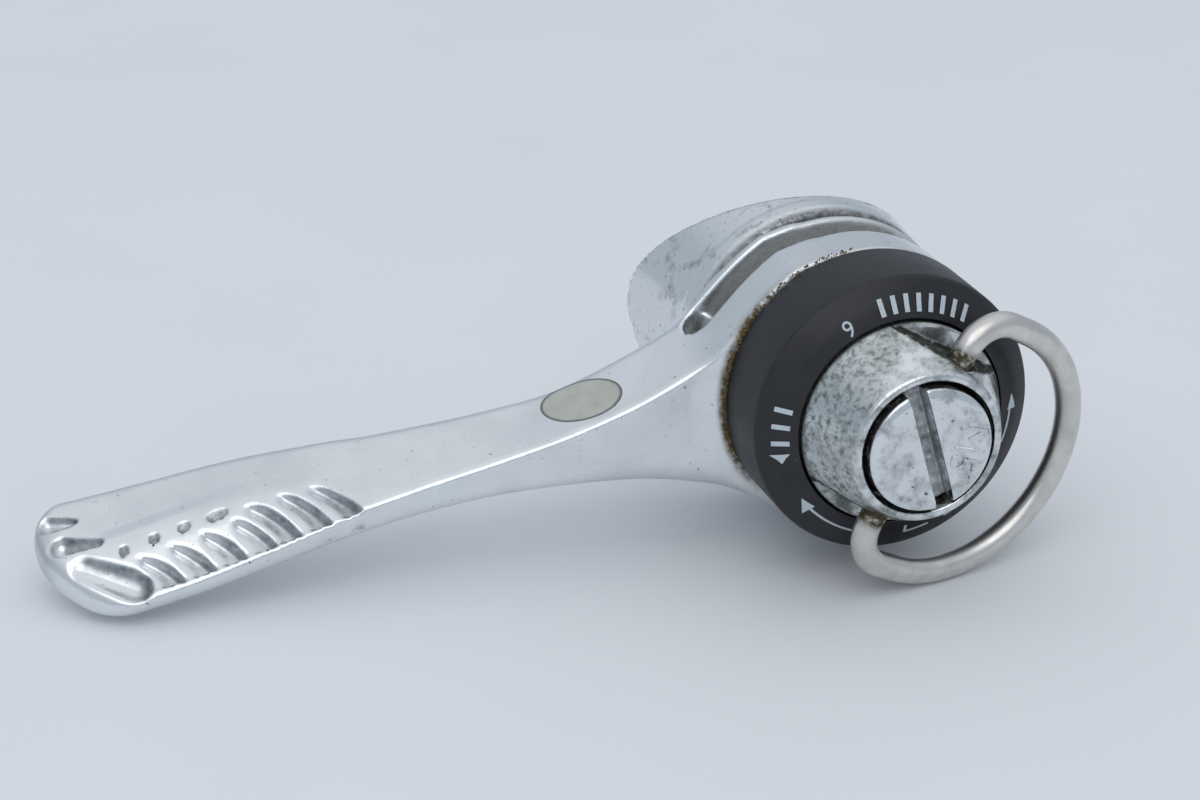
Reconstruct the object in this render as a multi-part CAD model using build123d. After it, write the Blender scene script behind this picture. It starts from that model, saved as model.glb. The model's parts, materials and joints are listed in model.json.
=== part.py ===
"""Down tube shift lever: indexed lever, housing, mode knob with wire bail, bolt and boss cover.

Frame: +Y runs along the pivot from the knob towards the bicycle's down tube, +Z is up as the
lever lies on a table, and the arm points along -X.  The origin is on the pivot axis, at the
plane where the lever's drum meets the index housing.  Millimetres throughout.
"""
import math
import os

from build123d import *

# ---------------------------------------------------------------- driving sizes
# clearances
thrust_gap = 0.2          # between faces of pieces that turn on each other
shaft_gap = 0.05          # radial running clearance of a shaft in its bore
wire_gap = 0.06           # radial clearance of the bail wire in its holes
overshoot = 0.5           # how far a cutter runs past what it cuts

# index housing (the black ring)
bevel_width = 1.8         # from the housing's outer wall to the dial
housing_length = 6.3      # straight outer wall
bevel_depth = 1.1
dial_width = 1.33
dial_gap = 0.15           # between the dial and the knob's foot
dial_rise = 0.63
housing_wall = 1.3
housing_front_wall = 2.0

# pivot and boss
boss_r = 5.0              # the frame's boss
boss_fit = 0.05
sleeve_wall = 0.95
sleeve_front = 4.9        # how far the sleeve stands outboard of the drum
sleeve_floor = 4.4        # its closed outboard end
boss_square = 12.0        # the square root of the boss
square_fit = 0.1
bolt_hole_gap = 0.25

# lever drum
drum_step = 0.1           # drum and cup lie this far inside the housing's outer wall
drum_width = 8.3
groove_depth = 2.1
groove_start = 4.4        # distance of the groove from the drum's front face
groove_width = 2.9
groove_end = 156.0        # degrees round the pivot where the groove runs out at the arm
groove_open = -110.0      # degrees where it comes back to the arm's underside
groove_depth_at_arm = 2.6
bush_wall = 0.9
cable_r = 0.95            # hole for the cable
cable_head_r = 2.3
cable_head_depth = 4.5
cable_head_wall = 0.7     # metal left between the seat and the drum's rear face
cable_x = -12.0

# index mechanism
cage_thick = 1.5
ball_r = 1.2
ball_pitch = 2.7          # from the sleeve's outside to the balls' circle
ball_count = 4
ball_stand_out = 1.0
detent_count = 9
detent_step = 13.25       # degrees of one click
detent_r = 0.9            # holes that the balls click into
friction_pocket = 3       # clicks each side of the bottom, where the balls rest in friction mode
ball_every = 4            # clicks from one ball to the next
plate_thick = 1.0
washer_thick = 0.3
clip_thick = 0.6
clip_width = 0.75
clip_gap = 2.4            # opening of the ring
spring_wire = 0.4
spring_waves = 4
spring_height = 0.5
spring_width = 1.0
pin_r = 0.7
pin_length = 3.0
pin_places = (2.0, -12.0)  # clicks round from the top

# knob
knob_flange = 0.32        # cone's foot stands out of the skirt
knob_lip_width = 0.64
knob_recess_gap = 0.38    # round the bolt's head
knob_height = 5.4         # base of the cone to its lip
knob_floor = 1.1
knob_skirt_gap = 0.35     # between the retaining ring and the skirt
knob_skirt_wall = 1.3
cam_thick = 0.9
cam_lug_r = 1.0           # lobes that stand out of the cam
cam_lug_sink = 0.3        # their middle, inside the skirt's outside
seal_r = 0.45             # half the width of the seal's seat in the knob
seal_wire_r = 0.405
seal_sink = 0.11          # how far the seal's middle line lies inside the knob's skirt

# bail
wire_r = 1.08
bail_r = 11.1             # radius of the bow, to the wire's middle
bail_centre = 4.9         # bow centre, from the pivot line
bail_bend_r = 3.2
bail_end = 5.95           # inner end of the wire, from the pivot axis
bail_height = 2.3         # pivot line, inboard of the knob's lip
bail_turn = -28.9         # degrees, which way the bow points round the pivot axis
bail_tilt = 12.7          # degrees, how far it leans back past flat
scallop_r = 2.6           # round recess in the cone at each end of the bail
scallop_out = 1.43        # its centre, outside the cone

# bolt
bolt_head_rim = 0.25      # head's radius over the boss's
bolt_head_height = 4.2
bolt_head_stand = 0.7     # head stands out of the knob's lip
bolt_chamfer = 0.7        # sloping edge of the head, along the radius
bolt_chamfer_depth = 0.3
bolt_shoulder_r = 3.6
bolt_r = 2.5
bolt_thread = 13.0
bolt_point = 0.75         # chamfer of the thread's end
slot_width = 1.5
slot_depth = 1.9
slot_turn = -16.0         # degrees round the pivot, from straight up
bolt_seal_r = 0.3

# rear
friction_washer_thick = 0.5
friction_washer_width = 2.3
stop_plate_thick = 1.2
stop_plate_gap = 0.5      # inside the cup's rim
stop_pin_r = 0.8
stop_pin_inset = 0.7      # pin's middle, inside the plate's edge
lever_travel = 106.0      # degrees
cup_flare = 0.12          # how much the skirt widens for each millimetre towards the tube
cup_wall = 1.1
cup_front_wall = 1.2
cup_rim = 1.0             # rim that stands forward round the stop plate
cup_crown = 2.2           # end of the skirt at the tube's crown, behind the cup's front face
tube_r = 14.3             # 28.6 mm down tube
tube_angle = 80.0         # degrees from +X to the tube's axis, seen along the pivot

# arm: one row per station along the arm, root first
# (x, near bottom, near rim, break line, far top, far bottom), each point (y, z)
arm_rows = (
    (-6.0, (1.0, -10.2), (1.0, 9.6), (4.4, 9.9), (7.9, 9.9), (7.9, -10.2)),
    (-12.0, (0.8, -8.1), (0.8, 4.4), (4.5, 5.0), (8.0, 5.5), (8.0, -9.0)),
    (-18.0, (1.0, -6.8), (0.9, 1.0), (4.5, 1.7), (8.3, 2.3), (8.2, -7.7)),
    (-24.0, (1.6, -6.7), (1.5, -1.3), (5.0, -0.9), (9.1, -0.3), (9.0, -6.8)),
    (-30.0, (2.7, -7.3), (2.5, -3.4), (5.6, -2.7), (10.0, -1.7), (9.8, -6.4)),
    (-36.0, (3.2, -8.1), (3.0, -4.9), (6.1, -4.1), (11.2, -2.8), (11.0, -6.7)),
    (-42.0, (3.6, -9.4), (3.3, -6.5), (6.6, -5.4), (12.5, -3.7), (12.3, -7.1)),
    (-48.0, (3.7, -10.9), (3.2, -8.6), (7.0, -6.0), (13.5, -4.5), (13.3, -7.5)),
    (-55.0, (3.8, -12.7), (3.3, -10.7), (7.5, -7.5), (14.7, -5.4), (14.4, -8.1)),
    (-61.0, (4.0, -13.9), (3.4, -12.0), (8.0, -8.8), (15.6, -6.5), (15.2, -8.9)),
    (-68.5, (5.2, -15.1), (4.6, -13.4), (9.2, -10.3), (16.6, -7.7), (16.2, -9.8)),
)
arm_edge_r = 0.7
tip_points = ((-61.0, 2.8), (-64.6, 6.2), (-67.2, 11.0), (-66.9, 14.2), (-64.6, 17.0))
rib_count = 7
rib_first_x = -45.0
rib_pitch = 2.46
rib_slant = 2.4
rib_r = 0.75
rib_sink = 0.35
badge_x = -22.75
badge_y = 5.24
badge_length = 7.0
badge_width = 4.9
badge_thick = 0.8
badge_turn = -40.0
badge_tilt = (9.0, -22.0)  # degrees about X and about Y

# ---------------------------------------------------------------- worked-out radii and places (y)
sleeve_r = boss_r + boss_fit + sleeve_wall
clip_r = sleeve_r + clip_width
ball_pitch_r = sleeve_r + ball_pitch
knob_skirt_in = clip_r + knob_skirt_gap
knob_skirt_r = knob_skirt_in + knob_skirt_wall
knob_base_r = knob_skirt_r + knob_flange
dial_inner_r = knob_base_r + dial_gap
dial_outer_r = dial_inner_r + dial_width
housing_r = dial_outer_r + bevel_width
drum_r = housing_r - drum_step
groove_floor_r = drum_r - groove_depth
bolt_head_r = boss_r + bolt_head_rim
knob_recess_r = bolt_head_r + knob_recess_gap
knob_lip_r = knob_recess_r + knob_lip_width
cup_front_r = housing_r - drum_step
stop_plate_r = cup_front_r - cup_wall - stop_plate_gap
stop_pin_pitch_r = stop_plate_r - stop_pin_inset
friction_washer_r = sleeve_r + friction_washer_width
dial_edge_y = -housing_length - bevel_depth
dial_front_y = dial_edge_y - dial_rise
cavity_y = dial_edge_y + housing_front_wall
cavity_r = housing_r - housing_wall
drum_front = thrust_gap
drum_rear = drum_front + drum_width
sleeve_front_y = -sleeve_front
bush_in = sleeve_r + shaft_gap
bush_out = bush_in + bush_wall
cage_y = drum_front - cage_thick
plate_rear_y = cage_y - ball_stand_out - thrust_gap / 2
plate_front_y = plate_rear_y - plate_thick
washer_y = plate_front_y - washer_thick
clip_y = washer_y - clip_thick
cam_rear_y = plate_front_y - thrust_gap
cam_front_y = cam_rear_y - cam_thick
knob_base_y = dial_front_y
knob_lip_y = knob_base_y - knob_height
head_top_y = knob_lip_y - bolt_head_stand
head_seat_y = head_top_y + bolt_head_height
knob_seat_y = head_seat_y + 2 * bolt_seal_r + thrust_gap / 2
knob_inside_y = knob_seat_y + knob_floor
bail_y = knob_lip_y + bail_height
washer_rear_y = drum_rear + thrust_gap
stop_y = washer_rear_y + friction_washer_thick
cup_y = stop_y + stop_plate_thick
crown_y = cup_y + cup_crown


# ---------------------------------------------------------------- helpers
def turned(points):
    """Solid of revolution about the pivot axis; points are (radius, y)."""
    return revolve(make_face(Polyline(*points, close=True)), axis=Axis.Y)


def tube(r_in, r_out, y0, y1):
    return turned(((r_in, y0), (r_out, y0), (r_out, y1), (r_in, y1)))


def along_y(radius, y0, y1, x=0.0, z=0.0):
    """Round bar parallel to the pivot axis."""
    mid = (y0 + y1) / 2
    return Pos(x, mid, z) * Rot(90, 0, 0) * Cylinder(radius, abs(y1 - y0))


def sector(low, high, y0, y1):
    """Wedge of a wide disc between two angles round the pivot axis."""
    reach = 4 * drum_r
    steps = 8
    angles = [low + (high - low) * i / steps for i in range(steps + 1)]
    rim = [(x, y0, z) for x, z in (polar(reach, a) for a in angles)]
    face = make_face(Polyline((0, y0, 0), *rim, close=True))
    return extrude(face, amount=y1 - y0, dir=(0, 1, 0))


def polar(radius, degrees):
    a = math.radians(degrees)
    return radius * math.cos(a), radius * math.sin(a)


def arm_point(x, index):
    """Point (y, z) of one of the arm's long lines at a distance along the arm."""
    for (x0, *p0), (x1, *p1) in zip(arm_rows, arm_rows[1:]):
        if x1 <= x <= x0:
            f = (x - x0) / (x1 - x0)
            return tuple(a + f * (b - a) for a, b in zip(p0[index], p1[index]))
    raise ValueError("outside the arm")


# ---------------------------------------------------------------- lever
def arm():
    faces = []
    for x, *corners in arm_rows:
        points = [(x, y, z) for y, z in corners]
        faces.append(make_face(FilletPolyline(*points, radius=arm_edge_r, close=True)))
    return loft(faces)


def tip_outline():
    """Prism that leaves the arm's rounded end and nothing beyond it."""
    near, far = tip_points[0], tip_points[-1]
    root_x = drum_r
    side = 2 * drum_r
    edge = Spline(*tip_points)
    rest = Polyline(
        far, (far[0], side), (root_x, side), (root_x, drum_front), (near[0], drum_front), near)
    plan = make_face(edge + rest)
    return extrude(plan, amount=side, both=True)


def rib_cutters():
    """Slots pressed across the paddle's near edge, for grip."""
    cutters = []
    for i in range(rib_count):
        top_x = rib_first_x - i * rib_pitch
        low_x = top_x + rib_slant
        top = arm_point(top_x, 2)
        low = arm_point(low_x, 1)
        start = Vector(top_x, top[0] + rib_sink, top[1] + rib_sink)
        end = Vector(low_x, low[0] + rib_sink, low[1] + 2 * rib_sink)
        bar = Plane(start, z_dir=end - start) * Pos(0, 0, (end - start).length / 2)
        cutters.append(bar * Cylinder(rib_r, (end - start).length))
        cutters.append(Pos(*start) * Sphere(rib_r))
        cutters.append(Pos(*end) * Sphere(rib_r))
    return cutters


def badge_prism():
    """Oval prism through the arm's top face."""
    near = arm_point(badge_x, 1)
    far = arm_point(badge_x, 3)
    share = (badge_y - near[0]) / (far[0] - near[0])
    z = near[1] + share * (far[1] - near[1])
    place = Pos(badge_x, badge_y, z) * Rot(badge_tilt[0], badge_tilt[1], badge_turn)
    return place * extrude(Ellipse(badge_length / 2, badge_width / 2), amount=badge_thick, both=True)


def lever_badge():
    """Inlay whose face is flush with the arm."""
    return badge_prism() & arm()


def lever():
    groove_y = drum_front + groove_start
    body = tube(bush_out, drum_r, drum_front, drum_rear)
    ring = tube(groove_floor_r, drum_r + groove_depth_at_arm, groove_y, groove_y + groove_width)
    body = body + (arm() & tip_outline())
    body -= along_y(bush_out, drum_front - overshoot, drum_rear + overshoot)
    body -= ring & sector(groove_open, groove_end, groove_y, groove_y + groove_width)
    mid_y = groove_y + groove_width / 2
    low = arm_point(cable_x, 0)[1]
    seat_z = low + cable_head_depth
    seat_y = drum_rear - cable_head_wall - cable_head_r
    body -= Pos(cable_x, seat_y, seat_z - drum_r / 2) * Cylinder(cable_head_r, drum_r)
    body -= Pos(cable_x, seat_y, seat_z) * Cylinder(cable_r, 2 * drum_r)
    top = arm_point(cable_x, 3)[1]
    round_end = Pos(cable_x, mid_y, top) * Cylinder(groove_width / 2, 2 * groove_depth_at_arm)
    body -= round_end
    for cutter in rib_cutters():
        body -= cutter
    body -= badge_prism()
    for x, z in pin_spots():
        body -= along_y(pin_r, drum_front, drum_front + pin_length / 2, x, z)
    x, z = stop_pin_spot()
    body -= along_y(stop_pin_r, drum_rear - pin_length, drum_rear, x, z)
    return body


def pin_spots():
    """Two dowels that turn the ball cage with the drum."""
    return [polar(ball_pitch_r, 90 + a * detent_step) for a in pin_places]


def ball_spots():
    step = ball_every * detent_step
    return [polar(ball_pitch_r, 90 - i * step) for i in range(-1, ball_count - 1)]


def stop_pin_spot():
    return polar(stop_pin_pitch_r, -90.0)


def lever_bush():
    return tube(bush_in, bush_out, drum_front, drum_rear)


def ball_cage():
    cage = tube(sleeve_r + thrust_gap, cavity_r - thrust_gap, cage_y, drum_front)
    for x, z in ball_spots():
        cage -= along_y(ball_r, cage_y, drum_front, x, z)
    for x, z in pin_spots():
        cage -= along_y(pin_r, cage_y, drum_front, x, z)
    return cage


def detent_balls():
    y = cage_y - ball_stand_out + ball_r
    return Compound([Pos(x, y, z) * Sphere(ball_r) for x, z in ball_spots()])


def drive_pins():
    end = drum_front + pin_length / 2
    return Compound([along_y(pin_r, cage_y, end, x, z) for x, z in pin_spots()])


def stop_pin():
    x, z = stop_pin_spot()
    return along_y(stop_pin_r, drum_rear - pin_length, cup_y - thrust_gap, x, z)


# ---------------------------------------------------------------- housing and index
def index_housing():
    return turned((
        (cavity_r, 0), (housing_r, 0), (housing_r, -housing_length), (dial_outer_r, dial_edge_y),
        (dial_inner_r, dial_front_y), (dial_inner_r, cavity_y), (cavity_r, cavity_y)))


def detent_plate():
    plate = tube(sleeve_r, cavity_r, plate_front_y, plate_rear_y)
    start = 90 + detent_step * (detent_count - 1) / 2
    for i in range(detent_count):
        x, z = polar(ball_pitch_r, start - i * detent_step)
        plate -= along_y(detent_r, plate_front_y, plate_rear_y, x, z)
    for side in (1, -1):
        x, z = polar(ball_pitch_r, -90 + side * friction_pocket * detent_step)
        plate -= along_y(ball_r, plate_front_y, plate_rear_y, x, z)
    return plate


def wave_spring():
    """Flat ring pressed into waves, between the housing's front wall and the detent plate."""
    outer = cavity_r - thrust_gap
    inner = outer - spring_width
    count = 4 * spring_waves
    lap = 0.5  # degrees that one length of the ring runs into the next
    low = plate_front_y - spring_wire
    points = []
    for i in range(count + 1):
        rise = spring_height * (1 - math.cos(2 * math.pi * spring_waves * i / count)) / 2
        points.append((rise, i * 360 / count))
    parts = []
    for (h0, a0), (h1, a1) in zip(points, points[1:]):
        mid_h = (h0 + h1) / 2
        ring = tube(inner, outer, low - mid_h, low - mid_h + spring_wire)
        x0, z0 = polar(2 * outer, a0 - lap)
        x1, z1 = polar(2 * outer, a1 + lap)
        wedge = make_face(Polyline((0, 0, 0), (x0, 0, z0), (x1, 0, z1), close=True))
        parts.append(ring & extrude(wedge, amount=2 * outer, both=True))
    spring = parts[0]
    for part in parts[1:]:
        spring += part
    return spring


def thrust_washer():
    return tube(sleeve_r, clip_r, washer_y, plate_front_y)


def retaining_ring():
    ring = tube(sleeve_r, clip_r, clip_y, washer_y)
    gap = Pos(0, clip_y, -clip_r) * Box(clip_gap, 4 * clip_thick, clip_gap)
    return ring - gap


def pivot_sleeve():
    bolt_hole = bolt_r + bolt_hole_gap
    bore = boss_r + boss_fit
    step = sleeve_front_y + sleeve_floor
    return turned((
        (bolt_hole, sleeve_front_y), (sleeve_r, sleeve_front_y), (sleeve_r, stop_y),
        (bore, stop_y), (bore, step), (bolt_hole, step)))


# ---------------------------------------------------------------- knob and bail
def cone_r(y):
    """Radius of the knob's cone at a place along the axis."""
    return knob_base_r + (knob_lip_r - knob_base_r) * (knob_base_y - y) / knob_height


def in_bail_frame(shape):
    """Turn a shape built with the pivot line along Z and the bow towards +X into place."""
    return Pos(0, bail_y, 0) * Rot(0, -bail_turn, 0) * Rot(0, 0, bail_tilt) * shape


def mode_knob():
    shoulder = bolt_shoulder_r + 2 * shaft_gap
    body = turned((
        (shoulder, knob_seat_y), (knob_recess_r, knob_seat_y), (knob_recess_r, knob_lip_y),
        (knob_lip_r, knob_lip_y), (knob_base_r, knob_base_y), (knob_skirt_r, knob_base_y),
        (knob_skirt_r, cam_front_y), (knob_skirt_in, cam_front_y), (knob_skirt_in, knob_inside_y),
        (shoulder, knob_inside_y)))
    reach = knob_base_r * 2
    for side in (1, -1):
        hole = Pos(0, 0, side * reach / 2) * Cylinder(wire_r + wire_gap, reach)
        scoop = Pos(0, -bail_height / 2, side * (cone_r(bail_y) + scallop_out)) * Sphere(scallop_r)
        body -= in_bail_frame(hole) - along_y(knob_recess_r - overshoot, knob_lip_y, cam_front_y)
        body -= Pos(0, bail_y, 0) * Rot(0, -bail_turn, 0) * scoop
    seal_y = (knob_base_y + cavity_y) / 2
    body -= tube(knob_skirt_r - seal_r, 2 * knob_skirt_r, seal_y - seal_r, seal_y + seal_r)
    return body


def mode_cam():
    """Ring with two ramps that lifts the clicks out when the knob is turned."""
    cam = tube(knob_skirt_in, knob_skirt_r, cam_front_y, cam_rear_y)
    hollow = along_y(knob_skirt_in, cam_front_y, cam_rear_y)
    for side in (0, 180):
        x, z = polar(knob_skirt_r - cam_lug_sink, side + bail_turn)
        cam += along_y(cam_lug_r, cam_front_y, cam_rear_y, x, z) - hollow
    return cam


def knob_seal():
    seal_y = (knob_base_y + cavity_y) / 2
    ring = Pos(0, seal_y, 0) * Rot(90, 0, 0) * Torus(knob_skirt_r - seal_sink, seal_wire_r)
    return ring & tube(knob_skirt_r - seal_r, dial_inner_r - shaft_gap, seal_y - seal_r, seal_y + seal_r)


def bail():
    tip = bail_r - bail_bend_r
    c = bail_centre
    k = math.sqrt(0.5)
    half = bail_bend_r * (1 - k)
    path = Line((0, 0, bail_end), (0, 0, tip))
    path += ThreePointArc((0, 0, tip), (half, 0, bail_r - half), (bail_bend_r, 0, bail_r))
    path += Line((bail_bend_r, 0, bail_r), (c, 0, bail_r))
    path += ThreePointArc((c, 0, bail_r), (c + bail_r, 0, 0), (c, 0, -bail_r))
    path += Line((c, 0, -bail_r), (bail_bend_r, 0, -bail_r))
    path += ThreePointArc((bail_bend_r, 0, -bail_r), (half, 0, half - bail_r), (0, 0, -tip))
    path += Line((0, 0, -tip), (0, 0, -bail_end))
    start = Plane((0, 0, bail_end), z_dir=(0, 0, 1))
    wire = sweep(start * Circle(wire_r), path=path)
    return in_bail_frame(wire)


# ---------------------------------------------------------------- bolt
def mounting_bolt():
    neck_y = sleeve_front_y - thrust_gap
    end_y = sleeve_front_y + bolt_thread
    body = turned((
        (0, head_top_y), (bolt_head_r - bolt_chamfer, head_top_y),
        (bolt_head_r, head_top_y + bolt_chamfer_depth), (bolt_head_r, head_seat_y),
        (bolt_shoulder_r, head_seat_y), (bolt_shoulder_r, neck_y), (bolt_r, neck_y),
        (bolt_r, end_y - bolt_point), (bolt_r - bolt_point, end_y), (0, end_y)))
    slot = Box(slot_width, 2 * slot_depth, 4 * bolt_head_r)
    return body - Pos(0, head_top_y, 0) * Rot(0, slot_turn, 0) * slot


def bolt_seal():
    y = head_seat_y + bolt_seal_r
    return Pos(0, y, 0) * Rot(90, 0, 0) * Torus(bolt_shoulder_r + bolt_seal_r, bolt_seal_r)


# ---------------------------------------------------------------- rear
def friction_washer():
    return tube(sleeve_r, friction_washer_r, washer_rear_y, stop_y)


def square_hole():
    side = boss_square + 2 * square_fit
    return Pos(0, cup_y, 0) * Rot(0, 90 - tube_angle, 0) * Box(side, 4 * drum_width, side)


def stop_plate():
    """Keyed to the boss's square; its curved slot ends the lever's travel."""
    plate = along_y(stop_plate_r, stop_y, cup_y) - square_hole()
    width = stop_pin_r + thrust_gap
    start = -90.0 - thrust_gap
    steps = 24
    for i in range(steps + 1):
        x, z = polar(stop_pin_pitch_r, start - lever_travel * i / steps)
        plate -= along_y(width, stop_y, cup_y, x, z)
    return plate


def rear_cup():
    """Cover of the boss; its flared skirt is cut to sit on the down tube."""
    end_y = crown_y + tube_r
    rim_y = cup_y - cup_rim
    rear_r = cup_front_r + cup_flare * (end_y - rim_y)
    inner_r = cup_front_r - cup_wall
    wall_y = cup_y + cup_front_wall
    body = turned((
        (cup_front_r, rim_y), (rear_r, end_y), (rear_r - cup_wall, end_y),
        (inner_r + cup_flare * (wall_y - rim_y), wall_y), (0, wall_y), (0, cup_y),
        (inner_r, cup_y), (inner_r, rim_y)))
    tube_axis = Rot(0, 90 - tube_angle, 0)
    body -= Pos(0, crown_y + tube_r, 0) * tube_axis * Cylinder(tube_r, 8 * cup_front_r)
    return body - square_hole()


NODES = {
    "rear_cup": rear_cup,
    "stop_plate": stop_plate,
    "friction_washer": friction_washer,
    "pivot_sleeve": pivot_sleeve,
    "retaining_ring": retaining_ring,
    "thrust_washer": thrust_washer,
    "wave_spring": wave_spring,
    "detent_plate": detent_plate,
    "index_housing": index_housing,
    "lever": lever,
    "lever_badge": lever_badge,
    "lever_bush": lever_bush,
    "ball_cage": ball_cage,
    "detent_balls": detent_balls,
    "drive_pins": drive_pins,
    "stop_pin": stop_pin,
    "mode_knob": mode_knob,
    "mode_cam": mode_cam,
    "knob_seal": knob_seal,
    "bail": bail,
    "mounting_bolt": mounting_bolt,
    "bolt_seal": bolt_seal,
}

os.makedirs("parts", exist_ok=True)
for node, make in NODES.items():
    export_step(make(), f"parts/{node}.step")
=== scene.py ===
"""Down tube shift lever: what the eye sees of it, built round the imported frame.

Lengths are written in millimetres, as on the drawing, and become metres when a mesh is made.
+Y runs along the pivot from the knob towards the bicycle's tube, +Z is up, the arm points to -X.
"""

import json
import math

import bmesh
import bpy
import numpy as np
from mathutils import Matrix, Vector


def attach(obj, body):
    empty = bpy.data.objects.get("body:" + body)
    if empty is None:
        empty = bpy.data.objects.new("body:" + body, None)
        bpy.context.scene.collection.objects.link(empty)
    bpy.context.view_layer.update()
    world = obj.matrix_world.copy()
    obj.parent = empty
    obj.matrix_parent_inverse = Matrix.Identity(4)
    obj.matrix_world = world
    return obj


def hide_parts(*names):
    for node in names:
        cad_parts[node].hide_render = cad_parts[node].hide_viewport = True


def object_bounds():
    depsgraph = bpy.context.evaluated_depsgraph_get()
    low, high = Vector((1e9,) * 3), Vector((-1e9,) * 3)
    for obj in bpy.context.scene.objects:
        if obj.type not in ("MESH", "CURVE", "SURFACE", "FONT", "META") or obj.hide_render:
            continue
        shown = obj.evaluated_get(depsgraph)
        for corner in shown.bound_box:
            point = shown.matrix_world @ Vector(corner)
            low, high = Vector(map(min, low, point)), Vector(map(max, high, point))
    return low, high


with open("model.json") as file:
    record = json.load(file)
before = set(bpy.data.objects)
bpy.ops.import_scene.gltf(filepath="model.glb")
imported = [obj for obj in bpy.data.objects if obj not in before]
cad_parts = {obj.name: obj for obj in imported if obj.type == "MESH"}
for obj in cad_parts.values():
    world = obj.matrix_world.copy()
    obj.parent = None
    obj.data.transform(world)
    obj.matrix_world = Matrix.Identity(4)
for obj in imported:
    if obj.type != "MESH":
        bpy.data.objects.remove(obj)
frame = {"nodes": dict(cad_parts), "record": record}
cad_low, cad_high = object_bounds()
nodes = frame["nodes"]
scene = bpy.context.scene
MM = 0.001

# -------------------- sizes, millimetres
drum_r, drum_front, drum_rear, bore_r = 11.9, 0.2, 8.5, 6.95
groove_floor_r, groove_front, groove_rear, groove_top_r = 9.8, 4.6, 7.5, 14.5
groove_end, groove_open = 156.0, -110.0
cable_x, cable_r, head_r, head_y, head_z = -12.0, 0.95, 2.3, 5.5, -3.6
housing_r, housing_length, bevel_r, bevel_y, dial_r, dial_y = 12.0, 6.3, 10.2, -7.4, 8.87, -8.03
cavity_r, cavity_y = 10.7, -5.4
knob_r, knob_y, lip_r, lip_y, recess_r, seat_y = 8.72, -8.03, 6.27, -13.43, 5.63, -9.23
skirt_r, skirt_in, skirt_y, inside_y = 8.4, 7.1, -4.5, -8.13
bail_y, bail_turn, bail_tilt = -11.13, math.radians(-28.9), math.radians(12.7)
wire_r, bow_r, bow_centre, bend_r, wire_end = 1.08, 11.1, 4.9, 3.2, 5.95
bolt_top, bolt_seat, bolt_head_r, bolt_neck, bolt_end, slot_turn = -14.13, -9.93, 5.25, -5.1, 8.1, -16.0
slot_half, slot_depth, thread_r, thread_pitch, thread_depth, neck_r = 0.75, 1.9, 2.5, 0.8, 0.44, 3.6
knob_bore_r, flat_out, bail_hole_in, bail_gap = 3.7, 6.98, 5.2, 0.12
badge_x, badge_y, badge_half_l, badge_half_w, badge_turn = -22.75, 5.24, 3.5, 2.45, math.radians(-40.0)
cup_front, cup_rim, cup_wall_y, cup_crown, tube_r = 11.9, 9.4, 11.6, 12.6, 14.3
cup_flare, cup_wall, square, tube_turn = 0.12, 1.1, 12.2, math.radians(80.0)

# the arm's five long lines at stations along it: near bottom, near rim, break, far top, far bottom
arm_x = (-6, -12, -18, -24, -30, -36, -42, -48, -55, -61, -68.5)
arm_lines = (
    ((1.0, -10.2), (0.8, -8.1), (1.0, -6.8), (1.6, -6.7), (2.7, -7.3), (3.2, -8.1),
     (3.6, -9.4), (3.7, -10.9), (3.8, -12.7), (4.0, -13.9), (5.2, -15.1)),
    ((1.0, 9.6), (0.8, 4.4), (0.9, 1.0), (1.5, -1.3), (2.5, -3.4), (3.0, -4.9),
     (3.3, -6.5), (3.2, -8.6), (3.3, -10.7), (3.4, -12.0), (4.6, -13.4)),
    ((4.4, 9.9), (4.5, 5.0), (4.5, 1.7), (5.0, -0.9), (5.6, -2.7), (6.1, -4.1),
     (6.6, -5.4), (7.0, -6.0), (7.5, -7.5), (8.0, -8.8), (9.2, -10.3)),
    ((7.9, 9.9), (8.0, 5.5), (8.3, 2.3), (9.1, -0.3), (10.0, -1.7), (11.2, -2.8),
     (12.5, -3.7), (13.5, -4.5), (14.7, -5.4), (15.6, -6.5), (16.6, -7.7)),
    ((7.9, -10.2), (8.0, -9.0), (8.2, -7.7), (9.0, -6.8), (9.8, -6.4), (11.0, -6.7),
     (12.3, -7.1), (13.3, -7.5), (14.4, -8.1), (15.2, -8.9), (16.2, -9.8)),
)
tip_y = (2.8, 6.2, 11.0, 14.2, 17.0)
tip_x = (-61.0, -64.6, -67.2, -66.9, -64.6)
rib_count, rib_low, rib_top, rib_low_y, rib_top_y = 7, -43.2, -45.1, 3.5, 6.9
rib_low_pitch, rib_top_pitch, rib_rise, full_ribs = 2.5, 2.6, 0.06, 3
rib_half, rib_bow, rib_depth, rib_least_depth = 1.1, 0.25, 0.66, 0.12
dent_half, dent_depth = 0.4, 0.4
underside = -0.35  # faces that lean down more than this belong to the paddle's underside


# -------------------- small mesh tools
def smooth_curve(t, knots, values):
    """Values of a smooth curve through the knots, at t; knots rise."""
    knots = np.asarray(knots, float)
    values = np.asarray(values, float)
    slope = np.gradient(values, knots)
    i = np.clip(np.searchsorted(knots, t) - 1, 0, len(knots) - 2)
    h = knots[i + 1] - knots[i]
    u = np.clip((t - knots[i]) / h, 0, 1)
    a = values[i] * (1 + 2 * u) * (1 - u) ** 2 + values[i + 1] * u * u * (3 - 2 * u)
    return a + h * (slope[i] * u * (1 - u) ** 2 - slope[i + 1] * u * u * (1 - u))


def both(a, b, k=0.0):
    """Inside both solids, with the edge between them rounded over about k."""
    top = np.maximum(a, b)
    if not k:
        return top
    return top + np.maximum(k - np.abs(a - b), 0) ** 2 / (4 * k)


def either(a, b, k=0.0):
    return -both(-a, -b, k)


def cut(a, b, k=0.0):
    return both(a, -b, k)


def step_between(low, high, value):
    u = np.clip((value - low) / (high - low), 0, 1)
    return u * u * (3 - 2 * u)


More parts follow.
